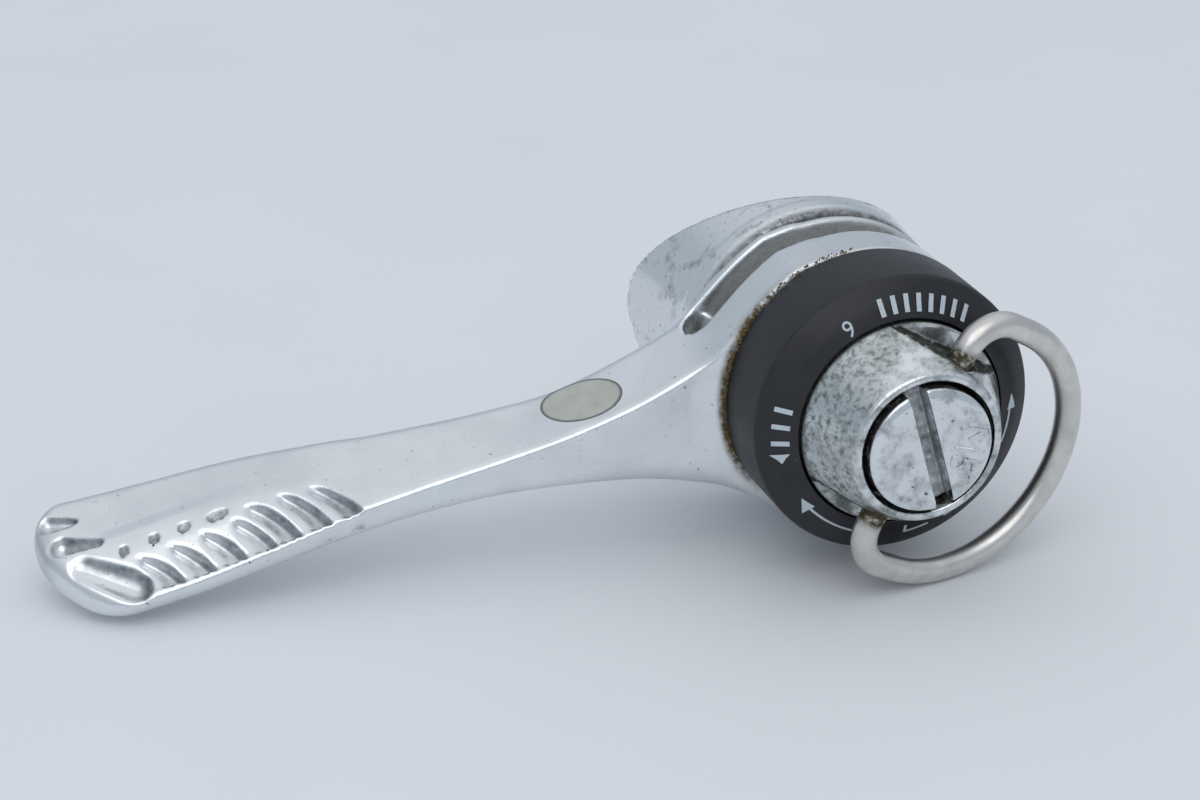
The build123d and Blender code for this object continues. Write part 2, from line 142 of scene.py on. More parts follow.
def new_piece(name, points, faces, material, smooth=True):
    """Mesh object from points in millimetres."""
    mesh = bpy.data.meshes.new(name)
    mesh.from_pydata((np.asarray(points, float) * MM).tolist(), [], faces)
    mesh.update()
    mesh.shade_smooth() if smooth else mesh.shade_flat()
    mesh.materials.append(material)
    piece = bpy.data.objects.new(name, mesh)
    scene.collection.objects.link(piece)
    return piece


def skin(solid, low, high, step):
    """Points and faces of the surface of a solid given as a signed distance."""
    axes = [np.arange(a, b + step, step) for a, b in zip(low, high)]
    grid = np.meshgrid(*axes, indexing="ij")
    d = solid(*(g.ravel() for g in grid)).reshape(grid[0].shape)
    inside = d < 0
    shape = np.array(d.shape) - 1
    corners = [(i, j, k) for i in (0, 1) for j in (0, 1) for k in (0, 1)]
    full = sum(inside[i:i + shape[0], j:j + shape[1], k:k + shape[2]].astype(np.int8)
               for i, j, k in corners)
    cells = np.argwhere((full > 0) & (full < 8))
    number = np.full(shape, -1)
    number[tuple(cells.T)] = np.arange(len(cells))
    total = np.zeros((len(cells), 3))
    hits = np.zeros(len(cells))
    for axis in range(3):
        for corner in corners:
            if corner[axis]:
                continue
            other = list(corner)
            other[axis] = 1
            a = d[tuple((cells + corner).T)]
            b = d[tuple((cells + other).T)]
            crossed = (a < 0) != (b < 0)
            t = np.where(crossed, a / np.where(crossed, a - b, 1), 0)
            at = np.array(corner, float) + np.outer(t, np.eye(3)[axis])
            total += at * crossed[:, None]
            hits += crossed
    points = np.array(low) + (cells + total / hits[:, None]) * step
    faces = []
    for axis in range(3):
        u, v = [(1, 2), (2, 0), (0, 1)][axis]
        edge = [slice(1, -1)] * 3
        edge[axis] = slice(0, -1)
        ahead = [slice(1, -1)] * 3
        ahead[axis] = slice(1, None)
        first, second = inside[tuple(edge)], inside[tuple(ahead)]
        for mask, turn in ((first & ~second, 1), (~first & second, -1)):
            at = np.argwhere(mask)
            at[:, u] += 1
            at[:, v] += 1
            ring = []
            for du, dv in ((1, 1), (0, 1), (0, 0), (1, 0))[::turn]:
                cell = at.copy()
                cell[:, u] -= du
                cell[:, v] -= dv
                ring.append(number[tuple(cell.T)])
            faces.append(np.stack(ring, 1))
    faces = np.concatenate(faces)
    for _ in range(3):
        points = settle(solid, points, step)
    return points, faces


def settle(solid, points, step):
    """Move each point down the slope of the distance, onto the surface."""
    e = 0.02
    d = solid(*points.T)
    slope = np.stack([
        (solid(*(points + e * axis).T) - solid(*(points - e * axis).T)) / (2 * e)
        for axis in np.eye(3)], 1)
    size = np.maximum((slope ** 2).sum(1), 0.25)
    move = -(d / size)[:, None] * slope
    length = np.linalg.norm(move, axis=1, keepdims=True)
    return points + move * np.minimum(1, 0.5 * step / np.maximum(length, 1e-9))


def solid_piece(name, solid, low, high, step, material):
    points, faces = skin(solid, low, high, step)
    return new_piece(name, points, faces.tolist(), material), points


def mark(piece, name, values):
    """Give the piece a number at each point, for its material to read."""
    layer = piece.data.attributes.new(name, "FLOAT", "POINT")
    layer.data.foreach_set("value", np.asarray(values, np.float32))


def hang(piece, body, slot, *replaced):
    if replaced:
        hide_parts(*replaced)
    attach(piece, body)


def plain_mesh(piece):
    """Turn a piece with live modifiers into a plain mesh object."""
    graph = bpy.context.evaluated_depsgraph_get()
    mesh = bpy.data.meshes.new_from_object(piece.evaluated_get(graph))
    name = piece.name
    bpy.data.objects.remove(piece)
    made = bpy.data.objects.new(name, mesh)
    scene.collection.objects.link(made)
    return made


def new_tree(name, inputs, geometry_in=False):
    """Empty geometry tree with named inputs: the tree, its inputs' sockets and identifiers."""
    tree = bpy.data.node_groups.new(name, "GeometryNodeTree")
    if geometry_in:
        tree.interface.new_socket("Geometry", in_out="INPUT", socket_type="NodeSocketGeometry")
    names = {}
    for label, value in inputs.items():
        kind = "NodeSocketInt" if isinstance(value, int) else "NodeSocketFloat"
        socket = tree.interface.new_socket(label, in_out="INPUT", socket_type=kind)
        socket.default_value = value
        names[label] = socket.identifier
    tree.interface.new_socket("Geometry", in_out="OUTPUT", socket_type="NodeSocketGeometry")
    return tree, add(tree, "NodeGroupInput").outputs, names


def end_tree(tree, geometry, material):
    real = add(tree, "GeometryNodeRealizeInstances", {"Geometry": geometry})
    done = add(tree, "GeometryNodeSetMaterial", {"Geometry": real, "Material": material})
    add(tree, "NodeGroupOutput", {"Geometry": done})


def grow(name, data, tree, names, values):
    """Plain mesh that the tree makes from the data, with its named inputs set to the values."""
    piece = bpy.data.objects.new(name, data)
    scene.collection.objects.link(piece)
    tool = piece.modifiers.new(tree.name, "NODES")
    tool.node_group = tree
    for label, value in values.items():
        tool[names[label]] = value
    made = plain_mesh(piece)
    made.name = name
    return made


# -------------------- material tools
def linear(code, alpha=1.0):
    """Linear colour of an sRGB hex code."""
    parts = [int(code[i:i + 2], 16) / 255 for i in (1, 3, 5)]
    return (*(c / 12.92 if c <= 0.04045 else ((c + 0.055) / 1.055) ** 2.4 for c in parts), alpha)


def per(size):
    """Texture scale whose features are about this many millimetres."""
    return 1 / (size * MM)


def add(tree, kind, sockets=None, **settings):
    """One node, with its settings, its socket values and the links into it; a node given as a
    value stands for its first output."""
    made = tree.nodes.new(kind)
    for key, value in settings.items():
        setattr(made, key, value)
    for key, value in (sockets or {}).items():
        if isinstance(value, bpy.types.Node):
            value = value.outputs[0]
        if isinstance(value, bpy.types.NodeSocket):
            tree.links.new(value, made.inputs[key])
        else:
            made.inputs[key].default_value = value
    return made


def new_material(name, **shader):
    """Material with a Principled shader, its plain numbers set on the shader's own sockets; with it
    come its tree, the shader and the object's own coordinates."""
    material = bpy.data.materials.new(name)
    material.use_nodes = True
    tree = material.node_tree
    tree.nodes.clear()
    surface = add(tree, "ShaderNodeBsdfPrincipled",
                  {key.replace("_", " "): value for key, value in shader.items()})
    add(tree, "ShaderNodeOutputMaterial", {"Surface": surface.outputs["BSDF"]})
    return material, tree, surface, add(tree, "ShaderNodeTexCoord").outputs["Object"]


def spots(tree, vector, size, low, high, detail=3.0, seed=0.0):
    """Soft-edged blotches: 0 where the noise is under low, 1 where it is over high."""
    shift = add(tree, "ShaderNodeMapping", {"Vector": vector, "Location": (seed, seed / 3, -seed)})
    noise = add(tree, "ShaderNodeTexNoise",
                {"Vector": shift, "Scale": per(size), "Detail": detail, "Roughness": 0.6})
    return add(tree, "ShaderNodeMapRange",
               {0: noise.outputs["Fac"], 1: low, 2: high}, clamp=True).outputs[0]


def feed(tree, surface, **inputs):
    """Links into the shader's own sockets."""
    for key, value in inputs.items():
        tree.links.new(value, surface.inputs[key.replace("_", " ")])


def painted(tree, name):
    """The number that a piece carries at each point under this name."""
    return add(tree, "ShaderNodeAttribute", attribute_name=name).outputs["Fac"]


def maths(tree, what, a, b=0.5, clamp=False):
    return add(tree, "ShaderNodeMath", {0: a, 1: b}, operation=what, use_clamp=clamp).outputs[0]


def blend(tree, amount, a, b):
    """Mix of two colours, each a socket or an sRGB hex code."""
    a, b = (linear(value) if isinstance(value, str) else value for value in (a, b))
    return add(tree, "ShaderNodeMix", {0: amount, 6: a, 7: b}, data_type="RGBA").outputs[2]


def ramp(tree, value, low, high):
    return add(tree, "ShaderNodeMapRange", {0: value, 3: low, 4: high}, clamp=True).outputs[0]


def dent(tree, height, strength, depth):
    """Bump of so many millimetres."""
    return add(tree, "ShaderNodeBump",
               {"Height": height, "Strength": strength, "Distance": depth * MM}).outputs[0]


# -------------------- finishes
def polished_aluminium():
    """Forged aluminium, polished and clear anodised: bright, hazed by years of thumbs, with fine
    scratches along the arm, pin-point pits, brown grime where nobody wipes, and dark grey painted
    shade where the piece marks it."""
    material, tree, surface, spot = new_material("polished_aluminium", Metallic=1.0)
    haze = spots(tree, spot, 7.0, 0.35, 0.7)
    fine = spots(tree, spot, 0.9, 0.3, 0.75, 4.0, 0.11)
    along = add(tree, "ShaderNodeMapping", {"Vector": spot, "Scale": (0.06, 1.0, 1.0),
                                            "Rotation": (0.0, 0.22, 0.18)}).outputs[0]
    scratch = spots(tree, along, 0.16, 0.45, 0.8, 2.0)
    pits = spots(tree, spot, 0.45, 0.70, 0.76, 2.0, 0.07)
    grime_and_shade = painted(tree, "grime_and_shade")
    broken = spots(tree, spot, 0.7, 0.30, 0.62, 5.0, 0.05)
    dirt_and_shade = maths(tree, "MULTIPLY", grime_and_shade, ramp(tree, broken, 0.35, 1.9), True)
    painted_shade = painted(tree, "painted_shade")
    shaded = maths(tree, "MULTIPLY", painted_shade, ramp(tree, fine, 0.5, 1.0), True)
    colour = blend(tree, haze, "#e9ecee", "#dcdfe2")
    # painted shade: dark grey laid into the colour where the piece's shade mark is high
    colour = blend(tree, shaded, colour, "#5f646b")
    colour = blend(tree, maths(tree, "MULTIPLY", pits, 0.8), colour, "#5b5a57")
    colour = blend(tree, dirt_and_shade, colour, "#5a4d36")
    feed(tree, surface, Base_Color=colour)
    rough = ramp(tree, haze, 0.20, 0.30)
    rough = maths(tree, "ADD", rough, maths(tree, "MULTIPLY", scratch, 0.06))
    rough = maths(tree, "ADD", rough, maths(tree, "MULTIPLY", shaded, 0.25))
    rough = maths(tree, "ADD", rough, maths(tree, "MULTIPLY", dirt_and_shade, 0.5), True)
    feed(tree, surface, Roughness=rough)
    bare = maths(tree, "SUBTRACT", 1.0, maths(tree, "MULTIPLY", dirt_and_shade, 0.9))
    feed(tree, surface, Metallic=bare)
    height = maths(tree, "SUBTRACT", maths(tree, "MULTIPLY", dirt_and_shade, 2.0), pits)
    height = maths(tree, "SUBTRACT", height, maths(tree, "MULTIPLY", scratch, 0.12))
    feed(tree, surface, Normal=dent(tree, height, 0.35, 0.05))
    return material


def pitted_chrome(name, cover, tint, dirt_and_shade_colour, seed):
    """Decorative chrome over steel, years old: mirror-bright where it is whole, clouded by a
    grey-green bloom over the share given by cover, and peppered with dark rust pits; the piece's
    marks add wear with painted shade, and dirt with painted shadow."""
    material, tree, surface, spot = new_material(name, Metallic=1.0)
    # this mark carries real wear and, on the knob's left side, painted shade
    wear_and_shade = painted(tree, "wear_and_shade")
    level = 0.62 - 0.2 * cover
    bloom = spots(tree, spot, 2.2, level, level + 0.16, 6.0, seed)
    fine = spots(tree, spot, 0.55, 0.45, 0.68, 4.0, seed + 0.03)
    cloud_and_shade = maths(tree, "MULTIPLY", bloom, ramp(tree, fine, 0.45, 1.0))
    dulled_and_shaded = maths(tree, "MULTIPLY", wear_and_shade, ramp(tree, fine, 0.3, 1.0))
    cloud_and_shade = maths(tree, "MAXIMUM", cloud_and_shade, dulled_and_shaded, True)
    pits = spots(tree, spot, 0.42, 0.66, 0.73, 3.0, seed + 0.01)
    # this mark carries dirt and also painted shadow in gaps and recesses
    grime_and_shade = painted(tree, "grime_and_shade")
    broken = spots(tree, spot, 0.6, 0.3, 0.6, 4.0, seed)
    dirt_and_shade = maths(tree, "MULTIPLY", grime_and_shade, ramp(tree, broken, 0.5, 1.6), True)
    colour = blend(tree, cloud_and_shade, "#e2e5e7", tint)
    colour = blend(tree, maths(tree, "MULTIPLY", pits, 0.85), colour, "#3b3730")
    colour = blend(tree, dirt_and_shade, colour, dirt_and_shade_colour)
    feed(tree, surface, Base_Color=colour)
    rough = maths(tree, "ADD", ramp(tree, cloud_and_shade, 0.13, 0.42), maths(tree, "MULTIPLY", pits, 0.3))
    rough = maths(tree, "ADD", rough, maths(tree, "MULTIPLY", dirt_and_shade, 0.5), True)
    feed(tree, surface, Roughness=rough)
    bare = maths(tree, "SUBTRACT", 1.0, maths(tree, "MULTIPLY", dirt_and_shade, 0.9))
    feed(tree, surface, Metallic=bare)
    height = maths(tree, "SUBTRACT", maths(tree, "MULTIPLY", cloud_and_shade, 0.4), pits)
    height = maths(tree, "ADD", height, dirt_and_shade)
    feed(tree, surface, Normal=dent(tree, height, 0.5, 0.05))
    return material


def satin_resin(name, code, rough):
    """Glass-filled resin from a spark-eroded mould: dark satin with a faint grain, dulled by
    dust and rubbed a little paler in places."""
    material, tree, surface, spot = new_material(name, IOR=1.53)
    rub = spots(tree, spot, 3.0, 0.4, 0.75, 5.0)
    dust = spots(tree, spot, 0.5, 0.66, 0.8, 3.0, 0.02)
    colour = blend(tree, maths(tree, "MULTIPLY", rub, 0.25), code, "#34333a")
    colour = blend(tree, maths(tree, "MULTIPLY", dust, 0.25), colour, "#77736c")
    feed(tree, surface, Base_Color=colour)
    feed(tree, surface, Roughness=ramp(tree, rub, rough, rough + 0.12))
    grain = spots(tree, spot, 0.12, 0.2, 0.8, 2.0)
    feed(tree, surface, Normal=dent(tree, grain, 0.15, 0.01))
    return material


def pad_print_ink():
    """Pale ink laid on by a silicone pad: flat, thin and a little broken at its edges."""
    material, tree, surface, spot = new_material("pad_print_ink", Roughness=0.6, IOR=1.5)
    thin = spots(tree, spot, 0.3, 0.55, 0.8, 4.0)
    colour = blend(tree, maths(tree, "MULTIPLY", thin, 0.5), "#bcc6cd", "#5c6168")
    feed(tree, surface, Base_Color=colour)
    return material


def drawn_stainless_wire():
    """Stainless wire, drawn and barrel finished: even warm grey satin with a fine faint grain."""
    material, tree, surface, spot = new_material("drawn_stainless_wire", Metallic=1.0)
    tone = spots(tree, spot, 2.5, 0.35, 0.7, 4.0)
    fine = spots(tree, spot, 0.12, 0.3, 0.8, 2.0)
    grime_and_shade = painted(tree, "grime_and_shade")
    dirt_and_shade = maths(tree, "MULTIPLY", grime_and_shade, ramp(tree, spots(tree, spot, 0.5, 0.3, 0.6), 0.3, 1.4), True)
    colour = blend(tree, tone, "#dedbd7", "#cac6c1")
    feed(tree, surface, Base_Color=blend(tree, dirt_and_shade, colour, "#57503c"))
    rough = maths(tree, "ADD", ramp(tree, tone, 0.26, 0.36), maths(tree, "MULTIPLY", dirt_and_shade, 0.4))
    feed(tree, surface, Roughness=rough)
    feed(tree, surface, Normal=dent(tree, fine, 0.2, 0.012))
    return material


def cream_enamel():
    """Enamel inlay: pale, hard and glossy, yellowed, with a dark line where it meets the metal."""
    material, tree, surface, spot = new_material("cream_enamel", IOR=1.52)
    age = spots(tree, spot, 1.6, 0.35, 0.7, 4.0)
    rim = painted(tree, "rim")
    colour = blend(tree, age, "#b7b9b0", "#a9aca4")
    feed(tree, surface, Base_Color=blend(tree, rim, colour, "#4b4a44"))
    feed(tree, surface, Roughness=ramp(tree, age, 0.22, 0.34))
    return material


def turned_metal(name, base, shade, rough, ring):
    """Metal that was stamped or turned and then plated: even, with faint rings round the pivot."""
    material, tree, surface, spot = new_material(name, Metallic=1.0)
    tone = spots(tree, spot, 1.8, 0.35, 0.7, 4.0)
    lines = add(tree, "ShaderNodeTexWave", {"Vector": spot, "Scale": per(ring), "Distortion": 0.6},
                wave_type="RINGS", rings_direction="Y").outputs["Fac"]
    feed(tree, surface, Base_Color=blend(tree, tone, base, shade))
    feed(tree, surface, Roughness=ramp(tree, tone, rough, rough + 0.12))
    feed(tree, surface, Normal=dent(tree, lines, 0.2, 0.01))
    return material


def moulded_plastic(name, base, shade, rough, ior, grain):
    """Moulded plastic or rubber, unpainted: one colour right through, with a fine even grain."""
    material, tree, surface, spot = new_material(name, IOR=ior)
    tone = spots(tree, spot, 1.5, 0.35, 0.7, 4.0)
    fine = spots(tree, spot, grain, 0.25, 0.8, 2.0)
    feed(tree, surface, Base_Color=blend(tree, tone, base, shade))
    feed(tree, surface, Roughness=ramp(tree, fine, rough, rough + 0.1))
    feed(tree, surface, Normal=dent(tree, fine, 0.2, 0.01))
    return material


def laminate_table():
    """Pale matt laminate: blue-white, almost even."""
    material, tree, surface, spot = new_material("laminate_table", IOR=1.45, Roughness=0.6)
    tone = spots(tree, spot, 60.0, 0.3, 0.7)
    colour = blend(tree, tone, "#e8eaed", "#e4e7ea")
    feed(tree, surface, Base_Color=colour)
    return material


aluminium = polished_aluminium()
knob_chrome = pitted_chrome("knob_chrome", 1.0, "#6f7a74", "#23261b", 0.31)
bolt_chrome = pitted_chrome("bolt_chrome", 0.7, "#858a8a", "#1b1a1c", 0.57)
cup_chrome = pitted_chrome("cup_chrome", 0.35, "#6d6f70", "#2c2b28", 0.83)
ring_resin = satin_resin("ring_resin", "#0d0d13", 0.45)
dial_resin = satin_resin("dial_resin", "#080911", 0.4)
ink = pad_print_ink()
wire_steel = drawn_stainless_wire()
enamel = cream_enamel()
dry_dirt = moulded_plastic("dry_dirt", "#8a7548", "#4a3b24", 0.85, 1.4, 0.2)
fixed_finishes = {
    "zinc_steel": turned_metal("zinc_plated_steel", "#a9a9a6", "#8f908f", 0.32, 0.5),
    "spring_steel": turned_metal("blued_spring_steel", "#5f6268", "#4a4c52", 0.30, 0.4),
    "brass": turned_metal("stamped_brass", "#c9a45c", "#ab8745", 0.30, 0.5),
    "bearing_steel": turned_metal("ground_bearing_steel", "#bfc0c2", "#a9aaad", 0.16, 0.3),
    "black_nylon": moulded_plastic("moulded_nylon", "#1b1b1d", "#26262a", 0.5, 1.53, 0.2),
    "white_acetal": moulded_plastic("moulded_acetal", "#e4e2da", "#d8d5cb", 0.38, 1.48, 0.3),
    "black_rubber": moulded_plastic("moulded_rubber", "#151516", "#202021", 0.62, 1.52, 0.15),
}


# -------------------- lever
def arm_line(which, x):
    """Smooth (y, z) of one of the arm's long lines."""
    knots = np.array(arm_x[::-1], float)
    pairs = np.array(arm_lines[which][::-1], float)
    return smooth_curve(x, knots, pairs[:, 0]), smooth_curve(x, knots, pairs[:, 1])


arm_table_x = np.arange(-72.0, 14.0, 0.1)
arm_table = [arm_line(i, arm_table_x) for i in range(5)]
tip_table_y = np.arange(-4.0, 22.0, 0.1)
tip_table_x = np.where(
    tip_table_y < tip_y[0], tip_x[0] + (tip_y[0] - tip_table_y) * 1.1,
    np.where(tip_table_y > tip_y[-1], tip_x[-1] + (tip_table_y - tip_y[-1]) * 0.9,
             smooth_curve(tip_table_y, tip_y, tip_x)))
tip_slope = np.gradient(tip_table_x, tip_table_y)


def bar(x, y, z, start, end, r0, r1):
    """Tapered round-ended bar from start to end."""
    a, b = np.array(start), np.array(end)
    along = b - a
    p = (x - a[0], y - a[1], z - a[2])
    t = np.clip(sum(c * d for c, d in zip(p, along)) / (along @ along), 0, 1)
    gap = sum((c - t * d) ** 2 for c, d in zip(p, along))
    return np.sqrt(gap) - (r0 + (r1 - r0) * t)


# small dents above the last four recesses: (x, y, half length)
rib_dents = ((-53.0, 7.5, 0.85), (-55.75, 7.55, 0.5), (-58.2, 7.55, 0.42), (-60.7, 7.5, 0.36))
# notches round the tip, as tapered bars: (start, end, radius at the start, radius at the end)
tip_cuts = (
    ((-64.3, 7.0, -9.6), (-60.5, 4.2, -10.5), 1.25, 1.5),
    ((-65.3, 10.2, -9.3), (-62.5, 9.2, -9.0), 1.0, 0.35),
    ((-65.9, 13.1, -8.6), (-63.8, 12.6, -8.75), 0.85, 0.3),
)


def rib_outline(number, x, y):
    """Distance across a recess from its middle, and from its outline seen from above."""
    short = number >= full_ribs
    low_x = rib_low - rib_low_pitch * number + 0.45 * short
    top_x = rib_top - rib_top_pitch * number + 0.8 * short
    low_y = rib_low_y + rib_rise * number
    share = (y - low_y) / (rib_top_y - low_y)
    bow = rib_bow * np.sin(np.pi * np.clip(share, 0, 1))
    across = 0.88 * (x - low_x - (top_x - low_x) * share - bow)
    if not short:
        half = rib_half - 0.42 * share
        end = y - rib_top_y - 0.35
    else:
        half = rib_half - 1.02 * np.clip(share, 0, 1) ** 1.6
        end = y - rib_top_y + 0.2
    outline = both(np.abs(across) - half, end, 0.9)
    return across, both(outline, low_y + 0.05 - y, 0.1)


def rib_cut(number, x, y, slope):
    """Recess pressed into the near slope: steep on the pivot's side, shallow on the tip's side."""
    across, outline = rib_outline(number, x, y)
    depth = rib_least_depth + rib_depth * step_between(-0.9, 0.75, across)
    return both(outline, -slope - depth, 0.35)


def dent_outline(x, y, middle_x, middle_y, half):
    """Distance from the oval outline of a dent seen from above."""
    reach = np.sqrt(((x - middle_x) / half) ** 2 + ((y - middle_y) / dent_half) ** 2)
    return (reach - 1) * dent_half


def lever_solid(x, y, z):
    """Arm between its five long lines, with ribs, dents and notches, joined to the grooved drum."""
    line = [(np.interp(x, arm_table_x, t[0]), np.interp(x, arm_table_x, t[1])) for t in arm_table]

    def side(i, j):
        (ya, za), (yb, zb) = line[i], line[j]
        ty, tz = yb - ya, zb - za
        size = np.hypot(ty, tz)
        return (-tz * (y - ya) + ty * (z - za)) / size

    near, slope, top, back, under = side(0, 1), side(1, 2), side(2, 3), side(3, 4), side(4, 0)
    reach = step_between(-48.0, -57.0, x)
    top = top + reach * (0.16 * np.clip(y - 8.9, 0, 1.2) + 0.04 * np.maximum(y - 10.1, 0))
    d = both(near, slope, 0.55)
    d = both(d, top, 0.45)
    d = both(d, back, 1.5)
    d = both(d, under, 1.6)
    tip = (np.interp(y, tip_table_y, tip_table_x) - x) / np.sqrt(
        1 + np.interp(y, tip_table_y, tip_slope) ** 2)
    d = both(d, tip, 1.3)
    d = both(d, x + 5.0)
    for number in range(rib_count):
        d = cut(d, rib_cut(number, x, y, slope), 0.3)
    for middle_x, middle_y, half in rib_dents:
        hole = both(dent_outline(x, y, middle_x, middle_y, half), -slope - dent_depth, 0.1)
        d = cut(d, hole, 0.15)
    for start, end, r0, r1 in tip_cuts:
        d = cut(d, bar(x, y, z, start, end, r0, r1), 0.4)
    r = np.hypot(x, z)
    drum = both(both(r - drum_r, y - drum_rear, 0.5), drum_front - y, 0.4)
    d = either(d, drum, 3.2)
    d = both(d, drum_front - y, 0.35)
    d = both(d, y - drum_rear - 9.0 * step_between(-9.0, -15.0, x), 0.3)
    a, b = math.radians(groove_end), math.radians(groove_open)
    wedge = both(-(math.cos(a) * z - math.sin(a) * x), math.cos(b) * z - math.sin(b) * x)
    mid = (groove_front + groove_rear) / 2
    half = (groove_rear - groove_front) / 2
    groove = both(both(np.abs(y - mid) - half, groove_floor_r - r, 0.3), -wedge)
    groove = both(groove, r - groove_top_r)
    groove = either(groove, both(np.hypot(x - cable_x, y - mid) - half, 2.9 - z, 0.5))
    d = cut(d, groove, 0.3)
    d = cut(d, r - bore_r, 0.2)
    d = cut(d, both(np.hypot(x - cable_x, y - head_y) - head_r, z - head_z), 0.2)
    return cut(d, np.hypot(x - cable_x, y - head_y) - cable_r, 0.1)


def lever_painted_shade(lever, x, y, z):
    """How much painted shade each point gets, with some added roughness: the tip, the steep side of each
    recess, the dents and the notches.
    """
    facing = np.empty(3 * len(x))
    lever.data.vertices.foreach_get("normal", facing)
    facing = facing.reshape(-1, 3)
    upper = facing[:, 2] > underside
    # painted shade: darker towards the tip's end
    shade = 0.35 * step_between(-64.6, -66.8, x + 0.35 * np.maximum(11 - y, 0))
    for number in range(rib_count):
        across, outline = rib_outline(number, x, y)
        inside = step_between(0.16, 0.02, outline) * step_between(0.05, 1.0, across)
        shade = np.maximum(shade, inside * upper)
    for middle_x, middle_y, half in rib_dents:
        inside = step_between(0.1, -0.1, dent_outline(x, y, middle_x, middle_y, half))
        shade = np.maximum(shade, inside * upper)
    for start, end, r0, r1 in tip_cuts:
        inside = step_between(0.3, 0.05, bar(x, y, z, start, end, r0, r1))
        # painted shade on the notch walls that face away from the pivot, towards -X
        shade = np.maximum(shade, inside * step_between(0.0, -0.6, facing[:, 0]))
    return shade


def make_lever():
    lever, p = solid_piece("lever_body", lever_solid, (-69.0, -0.5, -16.5), (12.6, 18.0, 12.6), 0.22,
                           aluminium)
    x, y, z = p.T
    r = np.hypot(x, z)
    angle = np.degrees(np.arctan2(z, x)) % 360
    near_ring = step_between(1.3, 0.3, y) * step_between(12.9, 12.05, r)
    left = step_between(120, 150, angle) * step_between(225, 200, angle)
    joint = near_ring * (0.15 + 0.75 * left)
    in_groove = step_between(drum_r + 0.3, drum_r - 0.6, r) * step_between(4.3, 4.8, y)
    in_groove = in_groove * step_between(7.9, 7.3, y)
    mark(lever, "grime_and_shade", np.clip(joint * 0.9 + in_groove * 0.45, 0, 1))
    # painted shade: recess walls, dents, notch walls and the tip are marked to be coloured dark grey
    mark(lever, "painted_shade", np.clip(lever_painted_shade(lever, x, y, z), 0, 1))
    hang(lever, "lever", "polished_aluminium", "lever")


def make_badge():
    """Oval inlay that follows the arm's top face, a hair proud of it."""
    rings, around = 10, 72
    points = []
    for i in range(rings + 1):
        f = i / rings
        for j in range(around):
            a = 2 * math.pi * j / around
            u, v = badge_half_l * f * math.cos(a), badge_half_w * f * math.sin(a)
            points.append((badge_x + u * math.cos(badge_turn) - v * math.sin(badge_turn),
                           badge_y + u * math.sin(badge_turn) + v * math.cos(badge_turn), 3.0))
    p = np.array(points)
    for _ in range(60):
        p[:, 2] -= np.clip(lever_solid(*p.T) - 0.03, -0.3, 0.3)
    skirt = p[-around:].copy()
    skirt[:, 2] -= 0.25
    p = np.vstack([p, skirt])
    faces = ring_faces(rings + 1, around)
    faces.append(tuple((rings + 1) * around + j for j in range(around))[::-1])
    badge = new_piece("badge", p, faces, enamel)
    weld(badge)
    co = np.array([v.co for v in badge.data.vertices]) / MM
    u, w = co[:, 0] - badge_x, co[:, 1] - badge_y
    a = u * math.cos(badge_turn) + w * math.sin(badge_turn)
    b = -u * math.sin(badge_turn) + w * math.cos(badge_turn)
    mark(badge, "rim", step_between(0.91, 0.96, np.hypot(a / badge_half_l, b / badge_half_w)))
    hang(badge, "lever", "cream_enamel", "lever_badge")


def ring_faces(count, around, closed=False):
    """Faces between rings of points one after another; closed joins the last ring to the first."""
    faces = []
    for i in range(count):
        a, b = i * around, (i + 1) * around
        if closed:
            b = (i + 1) % count * around
        for j in range(around):
            k = (j + 1) % around
            faces.append((a + j, b + j, b + k, a + k))
    return faces


def weld(piece):
    """Merge points that coincide and turn every face outwards."""
    mesh = bmesh.new()
    mesh.from_mesh(piece.data)
    bmesh.ops.remove_doubles(mesh, verts=mesh.verts, dist=0.002 * MM)
    bmesh.ops.recalc_face_normals(mesh, faces=mesh.faces)
    mesh.to_mesh(piece.data)
    mesh.free()


# -------------------- ring and dial
def dial_height(r):
    """Where the ring's front lies at a distance from the pivot."""
    return np.interp(r, (dial_r, bevel_r, housing_r), (dial_y, bevel_y, -housing_length))


def make_ring():
    """Turned profile of the index ring, with its edges softened."""
    corners = ((cavity_r, 0, 0.2), (housing_r, 0, 0.25), (housing_r, -housing_length, 0.35),
               (bevel_r, bevel_y, 0.2), (dial_r, dial_y, 0.15), (dial_r, cavity_y, 0.1),
               (cavity_r, cavity_y, 0.3))
    profile = []
    count = len(corners)
    for i, (r, y, soft) in enumerate(corners):
        here = np.array((r, y))
        before, after = np.array(corners[i - 1][:2]), np.array(corners[(i + 1) % count][:2])
        a = here + (before - here) / np.linalg.norm(before - here) * soft
        b = here + (after - here) / np.linalg.norm(after - here) * soft
        for t in (0, 0.25, 0.5, 0.75, 1):
            profile.append((1 - t) ** 2 * a + 2 * t * (1 - t) * here + t * t * b)
    around = 240
    angles = np.arange(around) * 2 * math.pi / around
    points = [(r * math.cos(a), y, r * math.sin(a)) for r, y in profile for a in angles]
    ring = new_piece("index_ring", points, ring_faces(len(profile), around, closed=True), ring_resin)
    ring.data.materials.append(dial_resin)
    weld(ring)
    for face in ring.data.polygons:
        x, y, z = face.center / MM
        face.material_index = int(y < -housing_length - 0.25 and math.hypot(x, z) > dial_r + 0.1)
    hang(ring, "base", "black_resin", "index_housing")


def on_dial(r, degrees, lift=0.02):
    a = math.radians(degrees)
    return r * math.cos(a), float(dial_height(r)) - lift, r * math.sin(a)


